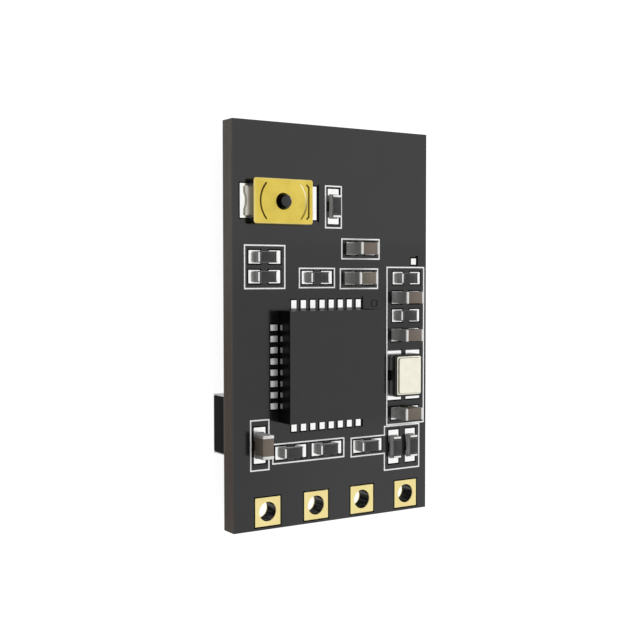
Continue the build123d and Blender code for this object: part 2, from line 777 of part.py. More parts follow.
def back_land_shapes(leadless=leadless_lands):
    chips = [(place, chip_lands()) for place in BACK_RESISTOR_PLACES + BACK_CAPACITOR_PLACES]
    chips.append((INDUCTOR_PLACE, mirrored(inductor_lands())))
    chips.append((REGULATOR_PLACE, mirrored(regulator_lands())))
    chips.append((OSCILLATOR_PLACE, crystal_lands()))
    chips.append((SOCKET_PLACE, mirrored(socket_lands())))
    chips.append(
        (TRANSCEIVER_PLACE, leadless(TRANSCEIVER_SIDE, TRANSCEIVER_LEADS_PER_SIDE, TRANSCEIVER_PADDLE))
    )
    return land_shapes(chips)


def wire_pad_places():
    middle = (WIRE_PAD_COUNT - 1) / 2
    y = WIRE_ROW_FROM_EDGE - BOARD_LENGTH / 2
    return [(WIRE_ROW_OFFSET + (index - middle) * WIRE_PAD_PITCH, y) for index in range(WIRE_PAD_COUNT)]


def laminate():
    core = block(BOARD_WIDTH, BOARD_LENGTH, LAMINATE_THICKNESS, z=CORE_BOTTOM)
    return core - [post(WIRE_HOLE_DIAMETER, LAMINATE_THICKNESS, x, y, CORE_BOTTOM) for x, y in wire_pad_places()]


def wire_pad(x, y):
    """The lands of one wire hole, one on each face of the board."""
    levels = (CORE_TOP, CORE_BOTTOM - LAND_THICKNESS)
    lands = [block(WIRE_PAD_SIDE, WIRE_PAD_SIDE, LAND_THICKNESS, x, y, level) for level in levels]
    return [land - post(WIRE_HOLE_DIAMETER, 4 * LAMINATE_THICKNESS, x, y) for land in lands]


def lands_on(shapes, level):
    return [block(width, length, LAND_THICKNESS, x, y, level) for x, y, width, length in shapes]


def mask(shapes, level):
    """Solder mask with a window round each land or row of lands."""
    windows = shapes + [(x, y, WIRE_PAD_SIDE, WIRE_PAD_SIDE) for x, y in wire_pad_places()]
    sheet = Rectangle(BOARD_WIDTH, BOARD_LENGTH)
    grow = 2 * MASK_CLEARANCE
    openings = [Pos(x, y) * Rectangle(width + grow, length + grow) for x, y, width, length in windows]
    return Pos(0, 0, level) * extrude(sheet - openings, MASK_THICKNESS)


# Printed frames


def frame_box(places, margins):
    """Outer edges of a frame round the lands of the chips at these places."""
    shapes = land_shapes([(place, chip_lands()) for place in places])
    left = min(x - width / 2 for x, y, width, length in shapes) - margins[0]
    high = max(y + length / 2 for x, y, width, length in shapes) + margins[1]
    right = max(x + width / 2 for x, y, width, length in shapes) + margins[2]
    low = min(y - length / 2 for x, y, width, length in shapes) - margins[3]
    return left, low, right, high


def frame_face(box, inset=0.0):
    left, low, right, high = box
    size = Rectangle(right - left - 2 * inset, high - low - 2 * inset)
    return Pos((left + right) / 2, (low + high) / 2) * size


def frame_line(*boxes):
    """The outline round one box, or round several that join."""
    return [frame_face(box) for box in boxes], [frame_face(box, LEGEND_LINE) for box in boxes]


def legend(lines, level):
    solids = []
    for outer, inner in lines:
        face = outer[0] + outer[1:] if len(outer) > 1 else outer[0]
        solids.append(Pos(0, 0, level) * extrude(face - inner, LEGEND_THICKNESS))
    return solids


def front_legend():
    resistors = RESISTOR_PLACES
    capacitors = CAPACITOR_PLACES
    single = FRAME_SINGLE_MARGINS
    column = resistors[4:6] + capacitors[2:5]
    upright_pair = frame_box(resistors[9:11], FRAME_UPRIGHT_PAIR_MARGINS)
    beside = frame_box([resistors[8]], single)
    joined = (beside[0], beside[1], (upright_pair[0] + upright_pair[2]) / 2, beside[3])
    lines = [
        frame_line(frame_box([resistors[0]], single)),
        frame_line(frame_box(resistors[1:3], FRAME_PAIR_MARGINS)),
        frame_line(frame_box([resistors[3]], single)),
        frame_line(frame_box([capacitors[0]], FRAME_CAPACITOR_MARGINS)),
        frame_line(frame_box([capacitors[1]], FRAME_CAPACITOR_MARGINS)),
        frame_line(frame_box(column, FRAME_COLUMN_MARGINS)),
        frame_line(frame_box([capacitors[5]], FRAME_UPRIGHT_CAPACITOR_MARGINS)),
        frame_line(frame_box(resistors[6:8], single)),
        frame_line(upright_pair, joined),
    ]
    return legend(lines, FRONT_LEVEL)


def back_legend():
    lines = [frame_line(frame_box([place], FRAME_SINGLE_MARGINS)) for place in BACK_RESISTOR_PLACES]
    for place in BACK_CAPACITOR_PLACES:
        lines.append(frame_line(frame_box([place], FRAME_UPRIGHT_CAPACITOR_MARGINS)))
    return legend(lines, BACK_LEVEL - LEGEND_THICKNESS)


# Groups that repeat


def end_pieces(piece, front_places, back_places, *sizes):
    """Both end pieces of every small chip of one kind."""
    solids = [on_front(place, part) for place in front_places for part in both_ends(piece, *sizes)]
    solids += [on_back(place, part) for place in back_places for part in both_ends(piece, *sizes)]
    return solids


def solder_joints():
    resistor = (RESISTOR_LENGTH / 2, RESISTOR_HEIGHT, RESISTOR_TERMINAL_WIDTH)
    capacitor = (CAPACITOR_LENGTH / 2, CAPACITOR_HEIGHT / 2, RESISTOR_TERMINAL_WIDTH)
    joints = end_pieces(solder_seam, RESISTOR_PLACES, BACK_RESISTOR_PLACES, *resistor)
    return joints + end_pieces(solder_seam, CAPACITOR_PLACES, BACK_CAPACITOR_PLACES, *capacitor)


def build_nodes():
    nodes = {
        "laminate": laminate(),
        "front_mask": mask(front_land_shapes(row_windows), CORE_TOP),
        "back_mask": mask(back_land_shapes(row_windows), BACK_LEVEL),
        "front_legend": front_legend(),
        "back_legend": back_legend(),
        "front_lands": lands_on(front_land_shapes(), CORE_TOP),
        "back_lands": lands_on(back_land_shapes(), CORE_BOTTOM - LAND_THICKNESS),
    }
    for index, (x, y) in enumerate(wire_pad_places(), start=1):
        nodes[f"wire_pad_{index}"] = wire_pad(x, y)

    nodes["switch_base"] = on_front(SWITCH_PLACE, switch_base())
    nodes["switch_terminals"] = [on_front(SWITCH_PLACE, part) for part in both_ends(switch_terminal)]
    nodes["switch_dome"] = on_front(SWITCH_PLACE, switch_dome())
    nodes["switch_plunger"] = on_front(SWITCH_PLACE, switch_plunger())
    nodes["switch_cover"] = on_front(SWITCH_PLACE, switch_cover())

    controller = (CONTROLLER_SIDE, CONTROLLER_LEADS_PER_SIDE, CONTROLLER_PADDLE)
    leads = leadless_leads(*controller)
    body = leadless_body(CONTROLLER_SIDE, CONTROLLER_HEIGHT, *controller[1:])
    nodes["controller_leads"] = [on_front(CONTROLLER_PLACE, lead) for lead in leads]
    nodes["controller_body"] = on_front(CONTROLLER_PLACE, body)

    nodes["crystal_pads"] = [on_front(CRYSTAL_PLACE, pad) for pad in crystal_pads()]
    nodes["crystal_base"] = on_front(CRYSTAL_PLACE, crystal_base())
    nodes["crystal_lid"] = on_front(CRYSTAL_PLACE, crystal_lid())

    for index, place in enumerate(RESISTOR_PLACES, start=1):
        nodes[f"resistor_{index}"] = on_front(place, resistor_body())
    for index, place in enumerate(CAPACITOR_PLACES, start=1):
        nodes[f"capacitor_{index}"] = on_front(place, capacitor_body())
    for index, place in enumerate(BACK_RESISTOR_PLACES, start=1):
        nodes[f"back_resistor_{index}"] = on_back(place, resistor_body())
    for index, place in enumerate(BACK_CAPACITOR_PLACES, start=1):
        nodes[f"back_capacitor_{index}"] = on_back(place, capacitor_body())
    nodes["resistor_terminals"] = end_pieces(resistor_terminal, RESISTOR_PLACES, BACK_RESISTOR_PLACES)
    nodes["capacitor_terminals"] = end_pieces(capacitor_terminal, CAPACITOR_PLACES, BACK_CAPACITOR_PLACES)
    nodes["solder_joints"] = solder_joints()

    nodes["inductor_body"] = on_back(INDUCTOR_PLACE, inductor_body())
    nodes["inductor_terminals"] = [on_back(INDUCTOR_PLACE, part) for part in both_ends(inductor_terminal)]
    nodes["regulator_body"] = on_back(REGULATOR_PLACE, regulator_body())
    nodes["regulator_leads"] = [on_back(REGULATOR_PLACE, lead) for lead in regulator_leads()]

    transceiver = (TRANSCEIVER_SIDE, TRANSCEIVER_LEADS_PER_SIDE, TRANSCEIVER_PADDLE)
    leads = leadless_leads(*transceiver)
    body = leadless_body(TRANSCEIVER_SIDE, TRANSCEIVER_HEIGHT, *transceiver[1:])
    nodes["transceiver_leads"] = [on_back(TRANSCEIVER_PLACE, lead) for lead in leads]
    nodes["transceiver_body"] = on_back(TRANSCEIVER_PLACE, body)

    nodes["oscillator_pads"] = [on_back(OSCILLATOR_PLACE, pad) for pad in crystal_pads()]
    nodes["oscillator_base"] = on_back(OSCILLATOR_PLACE, crystal_base())
    nodes["oscillator_lid"] = on_back(OSCILLATOR_PLACE, crystal_lid())

    nodes["antenna_socket_base"] = on_back(SOCKET_PLACE, socket_base())
    nodes["antenna_socket_ring"] = on_back(SOCKET_PLACE, socket_ring())
    nodes["antenna_socket_pin"] = on_back(SOCKET_PLACE, socket_pin())
    return nodes


def write(name, shape):
    solids = shape if isinstance(shape, list) else [shape]
    flat = [solid for part in solids for solid in part.solids()]
    piece = flat[0] if len(flat) == 1 else Compound(children=flat)
    piece.label = name
    export_step(piece, os.path.join("parts", name + ".step"))


os.makedirs("parts", exist_ok=True)
for node_name, node_shape in build_nodes().items():
    write(node_name, node_shape)
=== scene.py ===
import math
import bmesh
import bpy
from mathutils import Matrix, Vector


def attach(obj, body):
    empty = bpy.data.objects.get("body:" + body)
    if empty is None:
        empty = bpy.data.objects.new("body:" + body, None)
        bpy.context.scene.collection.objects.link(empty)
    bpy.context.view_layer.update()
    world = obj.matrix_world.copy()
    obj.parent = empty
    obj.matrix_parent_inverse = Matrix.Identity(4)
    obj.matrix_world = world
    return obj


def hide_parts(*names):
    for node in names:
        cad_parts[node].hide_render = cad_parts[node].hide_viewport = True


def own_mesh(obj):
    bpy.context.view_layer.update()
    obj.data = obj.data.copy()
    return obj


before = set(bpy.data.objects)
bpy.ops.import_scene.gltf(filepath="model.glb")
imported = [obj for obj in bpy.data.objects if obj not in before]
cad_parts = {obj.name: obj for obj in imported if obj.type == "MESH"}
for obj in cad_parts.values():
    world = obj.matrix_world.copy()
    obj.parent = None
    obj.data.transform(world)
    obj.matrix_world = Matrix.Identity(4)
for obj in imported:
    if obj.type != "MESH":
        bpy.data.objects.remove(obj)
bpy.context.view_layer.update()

# One millimetre in metres, and the factors from metres to millimetres and back
MM = 0.001
TO_MM = (1000.0, 1000.0, 1000.0)
TO_METRES = (MM, MM, MM)
SAME_SPOT = 0.0005

# A grain that is neither stretched nor moved
AS_IT_IS = (1.0, 1.0, 1.0)
NO_SHIFT = (0.0, 0.0, 0.0)

# Places and sizes on the board, in millimetres of the shared frame
MASK_LEVEL = 2.15
BOARD_MIDDLE = MASK_LEVEL - 0.45
BOARD_HALF = (5.275, 9.035)
FRONT_ABOVE = MASK_LEVEL - 0.4
PIN_ONE_RING = (2.21, 0.95)
RING_RADIUS = 0.17
PRINT_RIM = 0.010
LID_RIM = 0.05
COAT_EDGE = 0.045

# Webs of lacquer between the lands of a leadless chip: spacing, half width, how far in under
# the chip they start and how far from its corners they stop
LEAD_PITCH = 0.5
WEB_HALF = 0.07
WEB_START = 0.50
WEB_STOP = 0.62

# Rows of lands at the controller's edges: half length and reach to both sides of the edge
ROW_HALF = 2.2
ROW_REACH = 0.6

# Switch cover, from its middle: where its grooves begin, the end of the painted highlight on their
# right arc, and the shift and the radius of the painted shadow at the plunger's hole
GROOVES_START = 0.5
LIT_FLANK_END = 1.215
BRINK_SHADE_SHIFT = 0.045
BRINK_RADIUS = 0.385

# Painted shadow: black lines painted on the mask beside the steps of its windows, where their walls
# lie in shade: middle and half size in x and y
WINDOW_STEP_SHADOWS = [
    ((-0.892, 5.511), (0.042, 0.86)),
    ((1.545, 0.790), (0.036, 0.52)),
    ((1.545, -4.360), (0.036, 0.47)),
    ((4.755, 2.960), (0.036, 0.25)),
    ((4.700, 3.165), (0.08, 0.036)),
]


# Paint maths


class Field:
    """A number or a vector that a paint works out at each point of a surface."""

    def __init__(self, paint, socket):
        self.paint = paint
        self.socket = socket

    def __add__(self, other):
        return self.paint.maths("ADD", self, other)

    def __radd__(self, other):
        return self.paint.maths("ADD", other, self)

    def __sub__(self, other):
        return self.paint.maths("SUBTRACT", self, other)

    def __rsub__(self, other):
        return self.paint.maths("SUBTRACT", other, self)

    def __mul__(self, other):
        return self.paint.maths("MULTIPLY", self, other)

    def __rmul__(self, other):
        return self.paint.maths("MULTIPLY", other, self)

    def __abs__(self):
        return self.paint.maths("ABSOLUTE", self)

    def __gt__(self, other):
        return self.paint.maths("GREATER_THAN", self, other)

    def __lt__(self, other):
        return self.paint.maths("LESS_THAN", self, other)


class Paint:
    """One material: its shader and the fields that feed it."""

    def __init__(self, name, colour, roughness=0.5, metallic=0.0, **plain):
        self.material = bpy.data.materials.new(name)
        self.material.use_nodes = True
        self.tree = self.material.node_tree
        self.shader = self.tree.nodes["Principled BSDF"]
        self.material.diffuse_color = (*colour, 1.0)
        self.feed("Base Color", (*colour, 1.0))
        self.feed("Roughness", roughness)
        self.feed("Metallic", metallic)
        for socket, value in plain.items():
            self.feed(socket.replace("_", " "), value)

    def join(self, socket, value):
        if isinstance(value, Field):
            self.tree.links.new(value.socket, socket)
        elif value is not None:
            socket.default_value = value

    def feed(self, name, value):
        self.join(self.shader.inputs[name], value)

    def node(self, kind, settings=None, sockets=None):
        """A node of any type, with its settings and the values or fields of its sockets."""
        made = self.tree.nodes.new(kind)
        for name, value in (settings or {}).items():
            setattr(made, name, value)
        for key, value in (sockets or {}).items():
            self.join(made.inputs[key], value)
        return made

    def maths(self, operation, *values):
        made = self.node("ShaderNodeMath", {"operation": operation}, dict(enumerate(values)))
        return Field(self, made.outputs[0])

    def vector(self, operation, *values):
        made = self.node("ShaderNodeVectorMath", {"operation": operation}, dict(enumerate(values)))
        output = "Value" if operation in ("DISTANCE", "DOT_PRODUCT") else "Vector"
        return Field(self, made.outputs[output])

    def coordinate(self, name):
        return Field(self, self.node("ShaderNodeTexCoord").outputs[name])

    def place(self):
        """Where the point lies, in millimetres of the shared frame."""
        return self.vector("MULTIPLY", self.coordinate("Object"), TO_MM)

    def parts_of(self, vector):
        made = self.node("ShaderNodeSeparateXYZ", None, {0: vector})
        return [Field(self, made.outputs[axis]) for axis in range(3)]

    def facing(self):
        """The outward direction of the surface, as x, y and z."""
        return self.parts_of(self.coordinate("Normal"))

    def level(self, low=0.4, high=0.8):
        """1 on faces that look straight up or down, 0 on walls."""
        return self.ramp(abs(self.facing()[2]), low, high)

    def grain(self, scale, detail=3.0, roughness=0.5, stretch=AS_IT_IS, shift=NO_SHIFT):
        """Cloudy noise from 0 to 1, with about scale patches to a millimetre."""
        spot = self.vector("MULTIPLY_ADD", self.place(), stretch, shift)
        values = {"Vector": spot, "Scale": scale, "Detail": detail, "Roughness": roughness}
        return Field(self, self.node("ShaderNodeTexNoise", None, values).outputs["Fac"])

    def ramp(self, value, low, high, start=0.0, end=1.0):
        """Start up to low, end from high, smooth between."""
        settings = {"interpolation_type": "SMOOTHSTEP"}
        values = {"Value": value, 1: low, 2: high, 3: start, 4: end}
        return Field(self, self.node("ShaderNodeMapRange", settings, values).outputs[0])

    def mix(self, mask, first, second):
        """Colour that goes from first to second as the mask goes from 0 to 1."""
        ends = [(*end, 1.0) if isinstance(end, tuple) else end for end in (first, second)]
        made = self.node("ShaderNodeMix", {"data_type": "RGBA"}, {0: mask, 6: ends[0], 7: ends[1]})
        return Field(self, made.outputs[2])

    def relief(self, height, depth):
        """Bumps of the given depth in millimetres."""
        values = {"Strength": 1.0, "Distance": depth * MM, "Height": height}
        bump = self.node("ShaderNodeBump", None, values)
        self.feed("Normal", Field(self, bump.outputs["Normal"]))

    def seen_rays(self):
        """1 where the camera or a shiny or clear surface looks, 0 for the light that it gives."""
        path = self.node("ShaderNodeLightPath")
        kinds = ("Camera", "Glossy", "Transmission")
        rays = [Field(self, path.outputs[f"Is {kind} Ray"]) for kind in kinds]
        return self.either(self.either(rays[0], rays[1]), rays[2])

    def either(self, first, second):
        return self.maths("MAXIMUM", first, second)


def corners(node):
    """Lowest and highest corner of a solid, in millimetres of the shared frame."""
    points = [vert.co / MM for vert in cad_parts[node].data.vertices]
    return [
        Vector([pick(point[axis] for point in points) for axis in range(3)]) for pick in (min, max)
    ]


def numbered(stem, count):
    return [f"{stem}_{index}" for index in range(1, count + 1)]


RESISTORS = numbered("resistor", 11)
BACK_RESISTORS = numbered("back_resistor", 2)
CAPACITORS = numbered("capacitor", 6)
BACK_CAPACITORS = numbered("back_capacitor", 4)
WIRE_PADS = numbered("wire_pad", 4)


# Finishes


def grey(level):
    return (level, level, level)


def shaded(colour, share):
    return tuple(channel * share for channel in colour)


def mask_webs(paint, x, y, flat):
    """1 on the lacquer left standing between the lands of the two leadless chips."""
    side = paint.facing()[2]
    webs = 0.0
    for node, sign in (("controller_body", 1.0), ("transceiver_body", -1.0)):
        low, high = corners(node)
        centre = (low + high) / 2
        reach = (high.x - low.x) / 2
        out = [abs(x - centre.x), abs(y - centre.y)]
        for along, across in (out, out[::-1]):
            row = paint.ramp(across, reach - WEB_START, reach - WEB_START + 0.04)
            row = row * paint.ramp(along, reach - WEB_STOP, reach - WEB_STOP - 0.04)
            from_web = paint.maths("PINGPONG", along, LEAD_PITCH / 2)
            between = paint.ramp(from_web, WEB_HALF, WEB_HALF - 0.015)
            webs = paint.either(webs, row * between * (side * sign > 0.5))
    return webs * flat


def board_edge():
    """Sawn edge of the glass laminate, with the plies and the dark walls of the drilled holes;
    painted reflection and a painted highlight on those walls, and painted shade on the laminate in
    the mask's windows.
    """
    paint = Paint("board_edge", (0.09, 0.075, 0.06), 0.62, Specular_IOR_Level=0.2)
    paint.feed("Specular Tint", (0.05, 0.05, 0.05, 1.0))
    paint.feed("Coat Roughness", 0.14)
    paint.feed("Coat IOR", 1.6)
    x, y, z = paint.parts_of(paint.place())
    plies = paint.grain(1.0, 2.0, 0.6, stretch=(0.25, 0.25, 9.0))
    fibres = paint.grain(1.0, 4.0, 0.65, stretch=(14.0, 14.0, 34.0), shift=(3.0, 1.0, 7.0))
    drift = paint.ramp(paint.grain(0.16, 1.0, 0.5, shift=(5.0, 2.0, 0.0)) + 0.045 * y, 0.25, 0.85)
    warm = paint.mix(drift, (0.146, 0.114, 0.095), (0.200, 0.177, 0.151))
    resin = paint.mix(0.82, (0.02, 0.017, 0.014), warm)
    body = paint.mix(paint.ramp(plies, 0.35, 0.7), resin, warm)
    body = paint.mix(paint.ramp(fibres, 0.62, 0.8) * 0.4, body, (0.16, 0.145, 0.12))
    skin = paint.ramp(abs(z - BOARD_MIDDLE), 0.375, 0.40)
    body = paint.mix(skin * 0.65, body, (0.02, 0.018, 0.016))
    sides = [
        paint.ramp(abs(spot), half - 0.005, half - 0.001) for spot, half in zip((x, y), BOARD_HALF)
    ]
    inside = 1.0 - paint.either(*sides)
    # Painted reflection: grey streaks down the walls of the holes; the same streaks also set the
    # plating's Metallic.
    streaks = paint.grain(1.0, 3.0, 0.6, stretch=(9.0, 9.0, 1.2), shift=(1.0, 4.0, 2.0))
    wall = paint.mix(paint.ramp(streaks, 0.40, 0.75), grey(0.012), grey(0.050))
    # Painted highlight: hole walls that face partly towards -y are painted light grey.
    lit = paint.ramp(abs(paint.facing()[1] + 0.38), 0.24, 0.04)
    wall = paint.mix(lit, wall, grey(0.17))
    # Painted shade: faces that look up or down, the laminate in the mask's windows, are painted
    # near black for the dark gaps around the lands.
    flat = paint.level(0.5, 0.9)
    body = paint.mix(flat, paint.mix(inside, body, wall), grey(0.003))
    paint.feed("Base Color", body)
    paint.feed("Coat Weight", mask_webs(paint, x, y, flat))
    plated = paint.ramp(streaks, 0.48, 0.60, 0.85, 0.45) - lit * 0.4
    paint.feed("Metallic", inside * (1.0 - flat) * plated)
    paint.feed("Roughness", 0.62 - inside * 0.44 + fibres * 0.08)
    paint.relief(plies * 0.5 + fibres * 0.5, 0.012)
    return paint.material


def solder_mask(name, flip=False):
    """Dark satin lacquer over the laminate, with a faint weave and the ring at pin one; on the
    front, painted shadow beside the windows' steps and painted shade in its sheen.
    """
    paint = Paint(name, (0.0025, 0.0025, 0.0026), 0.14, IOR=1.6)
    x, y, _ = paint.parts_of(paint.place())
    warp = paint.maths("SINE", x * 14.0 + paint.grain(1.2) * 1.5)
    weft = paint.maths("SINE", y * 14.0 + paint.grain(1.2, shift=(3.0, 0.0, 0.0)) * 1.5)
    peel = paint.grain(7.0, 3.0, 0.55)
    cloud = paint.grain(0.5, 3.0, 0.5, shift=(2.0, 7.0, 0.0))
    cloudy = paint.ramp(cloud, 0.35, 0.7)
    colour = paint.mix(cloudy, (0.002, 0.002, 0.0021), (0.0032, 0.0032, 0.0033))
    if not flip:
        away = paint.vector("DISTANCE", paint.place(), (*PIN_ONE_RING, MASK_LEVEL))
        fade = paint.ramp(abs(y - PIN_ONE_RING[1]), 0.19, 0.12, 0.35, 0.85)
        dark = paint.ramp(abs(away - RING_RADIUS), 0.046, 0.014) * fade
        # Painted shadow: black lines beside the windows' steps.
        for (middle_x, middle_y), (half_x, half_y) in WINDOW_STEP_SHADOWS:
            line = paint.ramp(abs(x - middle_x), half_x, half_x - 0.012)
            dark = paint.either(dark, line * paint.ramp(abs(y - middle_y), half_y, half_y - 0.012))
        colour = paint.mix(dark, colour, grey(0.0))
        # Painted shade: a Metallic ramp that dims the lacquer's sheen, rising from y 4.1 down to y
        # 0.8, and eased towards the lower right.
        sheen_shade = paint.ramp(y, 4.1, 3.3, 0.02, 0.11) + paint.ramp(y, 3.3, 0.8, 0.0, 0.09)
        sheen_shade_eased = paint.ramp(y, -3.4, -6.0) * paint.ramp(x, -5.0, 1.0, 0.04, 0.17)
        dark = paint.either(dark, sheen_shade - sheen_shade_eased)
        # Painted shade: the lacquer's walls get a dark metallic sheen.
        wall = (1.0 - paint.level(0.4, 0.6)) * 0.8
        paint.feed("Metallic", paint.either(dark, wall))
    paint.feed("Base Color", colour)
    paint.feed("Roughness", 0.12 + peel * 0.06 + cloud * 0.03)
    paint.relief(peel * 0.7 + warp * weft * 0.12, 0.001)
    return paint.material


def white_print():
    """Screen-printed white ink, a little rough."""
    paint = Paint("white_print", (0.72, 0.72, 0.71), 0.62)
    mottle = paint.grain(16.0, 4.0, 0.6)
    body = paint.mix(paint.ramp(mottle, 0.3, 0.7), grey(0.90), grey(0.97))
    paint.feed("Base Color", body)
    paint.relief(mottle, 0.006)
    return paint.material


def satin_metal(paint, roughness, depth, dull, bright):
    """Colour of bright metal in soft ripples, with their relief and a fine satin in its gloss."""
    ripple = paint.grain(3.0, 2.0, 0.5)
    satin = paint.grain(26.0, 3.0, 0.6)
    paint.feed("Roughness", satin * 0.06 + roughness)
    paint.relief(ripple * 0.8 + satin * 0.2, depth)
    return paint.mix(paint.ramp(ripple, 0.35, 0.65), dull, bright)


def tinned(name, colour, roughness, depth=0.006, metal=1.0, side=None):
    """Bright reflowed tin; given a side colour, its walls are painted darker: painted shade."""
    paint = Paint(name, colour, roughness, metal)
    body = satin_metal(paint, roughness, depth, shaded(colour, 0.95), colour)
    if side:
        # Painted shade: walls take the darker side colour.
        body = paint.mix(paint.level(), side, body)
    paint.feed("Base Color", body)
    return paint.material


def land_finish():
    """Bright reflowed tin, with painted shade: matt and darker towards the controller on its shaded
    side, black close to its foot, and dark under its top edge with a thin painted highlight line.
    """
    low, high = corners("controller_body")
    centre = (low + high) / 2
    paint = Paint("land_tin", (0.97, 0.97, 0.96), 0.15, 1.0)
    x, y, z = paint.parts_of(paint.place())
    front = z > FRONT_ABOVE
    beside = (abs(x - low.x) < ROW_REACH) * (abs(y - centre.y) < ROW_HALF) * front
    foot = beside * paint.ramp(x, low.x - 0.11, low.x - 0.09)
    above = (abs(x - centre.x) < ROW_HALF) * (abs(y - high.y) < ROW_REACH) * front
    strip = above * paint.ramp(y, high.y + 0.10, high.y + 0.08)
    hair = strip * paint.ramp(abs(y - (high.y + 0.055)), 0.022, 0.010)
    gloss = 0.15 + strip * 0.4
    body = satin_metal(paint, gloss, 0.001, (0.92, 0.92, 0.91), (0.97, 0.97, 0.96))
    # Painted shade: the row left of the controller turns matt grey, darker towards the chip.
    inwards = paint.ramp(x, low.x - 0.40, low.x - 0.12)
    body = paint.mix(beside, body, paint.mix(inwards, (0.95, 0.95, 0.94), (0.36, 0.36, 0.355)))
    # Painted shadow: black close to the chip's foot.
    body = paint.mix(foot, body, grey(0.0))
    # Painted shade: a dark strip under the chip's top edge, with a thin painted highlight line in
    # it.
    body = paint.mix(strip, body, (0.050, 0.050, 0.051))
    paint.feed("Base Color", paint.mix(hair, body, grey(0.35)))
    paint.feed("Metallic", 1.0 - beside * (1.0 - foot) * 0.9 - strip * 0.9)
    return paint.material


def rolled_gold(paint, colour, shade, roughness):
    """Clouded gold colour with a fine rolled grain in its gloss and relief."""
    rolled = paint.grain(1.0, 4.0, 0.6, stretch=(2.0, 26.0, 8.0))
    cloud = paint.grain(1.4, 3.0, 0.5, shift=(4.0, 0.0, 1.0))
    paint.feed("Roughness", roughness + rolled * 0.10)
    paint.relief(rolled * 0.6 + cloud * 0.4, 0.004)
    return paint.mix(paint.ramp(cloud, 0.3, 0.75), shade, colour)


def gold(name, colour, shade, roughness):
    """Plated gold."""
    paint = Paint(name, colour, roughness, 1.0)
    paint.feed("Base Color", rolled_gold(paint, colour, shade, roughness))
    return paint.material


def cover_finish():
    """Rolled gold plate, with a painted highlight on its rim, painted shade in its pressed grooves,
    a painted highlight where the right arc catches the light, and painted shadow at the left brink
    of the hole.
    """
    low, high = corners("switch_cover")
    centre = (low + high) / 2
    paint = Paint("cover_gold", (0.74, 0.58, 0.115), 0.36, 1.0)
    x, y, z = paint.parts_of(paint.place())
    x, y = x - centre.x, y - centre.y
    body = rolled_gold(paint, (0.74, 0.58, 0.115), (0.66, 0.51, 0.09), 0.36)
    away = paint.maths("SQRT", x * x + y * y)
    past_edge = paint.either(abs(x) - (high.x - centre.x), abs(y) - (high.y - centre.y))
    # Painted highlight: a pale rim along the cover's edges.
    rim = paint.ramp(past_edge, -0.065, -0.035)
    body = paint.mix(rim * 0.4, body, (0.88, 0.78, 0.38))
    # Painted shade: the pressed grooves are painted dark brown.
    groove = paint.ramp(high.z - z, 0.016, 0.028) * (1.0 - rim) * (away > GROOVES_START)
    # Painted highlight: the right arc's flank, painted pale and fading towards the bottom.
    lit = groove * (away < LIT_FLANK_END) * (x > 0.0)
    body = paint.mix(groove - lit * 0.45, body, (0.120, 0.080, 0.020))
    body = paint.mix(lit * paint.ramp(y, -0.6, 0.5, 0.0, 1.0), body, (0.98, 0.93, 0.66))
    # Painted shadow: a dark disc, shifted left of the plunger's hole, darkens its left brink.
    shade_centre = (centre.x - BRINK_SHADE_SHIFT, centre.y, high.z)
    from_shade_centre = paint.vector("DISTANCE", paint.place(), shade_centre)
    brink = paint.ramp(from_shade_centre, BRINK_RADIUS, BRINK_RADIUS - 0.025)
    paint.feed("Base Color", paint.mix(brink, body, (0.01, 0.008, 0.003)))
    return paint.material


def terminal_tin():
    """Drawn tin strip, painted in darker, warmer tones on its walls and next to the cover: painted
    shade tinted as a painted reflection of the cover's gold.
    """
    low, high = corners("switch_terminals")
    cover_low, cover_high = corners("switch_cover")
    paint = Paint("terminal_tin", (0.80, 0.79, 0.74), 0.5, 0.1)
    x, _, z = paint.parts_of(paint.place())
    out = abs(x - (low.x + high.x) / 2) - (cover_high.x - cover_low.x) / 2
    satin = paint.grain(26.0, 3.0, 0.6)
    up = paint.level()
    # Painted shade with a painted reflection of the gold: the flat goes darker and warmer next to
    # the cover, the walls darker and warmer towards the bend.
    flat = paint.mix(paint.ramp(out, 0.02, 0.17), (0.40, 0.36, 0.26), (0.80, 0.79, 0.73))
    upright = paint.mix(paint.ramp(z - low.z, 0.08, 0.30), (0.47, 0.43, 0.31), (0.30, 0.26, 0.15))
    paint.feed("Base Color", paint.mix(up, upright, flat))
    paint.feed("Roughness", 0.5 + satin * 0.06)
    paint.relief(satin, 0.002)
    return paint.material


def plunger_finish():
    """Glossy black rod, painted black with a dark metallic sheen where its edge leans left: painted
    shade.
    """
    paint = Paint("plunger_black", grey(0.003), 0.16, Specular_IOR_Level=0.55)
    lean_x, _, lean_z = paint.facing()
    # Painted shade: edge faces that lean left.
    away = paint.ramp(lean_z, 0.995, 0.94) * paint.ramp(lean_x, 0.10, -0.10)
    fine = paint.grain(22.0, 3.0, 0.6)
    paint.feed("Base Color", paint.mix(away, grey(0.003), grey(0.0)))
    paint.feed("Metallic", away)
    paint.feed("Roughness", 0.12 + fine * 0.12)
    paint.relief(fine, 0.001)
    return paint.material


def lid_metal(name, node, rim_side):
    """Creamy welded lid, painted dark down the sides of its raised panel: painted shade."""
    low, high = corners(node)
    rim, panel = (low.z + LID_RIM, high.z) if rim_side > 0 else (high.z - LID_RIM, low.z)
    paint = Paint(name, (0.87, 0.84, 0.72), 0.3, 1.0)
    z = paint.parts_of(paint.place())[2]
    body = satin_metal(paint, 0.3, 0.003, (0.84, 0.81, 0.69), (0.88, 0.85, 0.73))
    # Painted shade on the sides of the raised panel.
    panel_wall_shade = paint.ramp((z - rim) * rim_side, 0.0, 0.008) * paint.ramp(abs(z - panel), 0.002, 0.010)
    paint.feed("Base Color", paint.mix(panel_wall_shade * 0.9, body, (0.04, 0.04, 0.035)))
    return paint.material


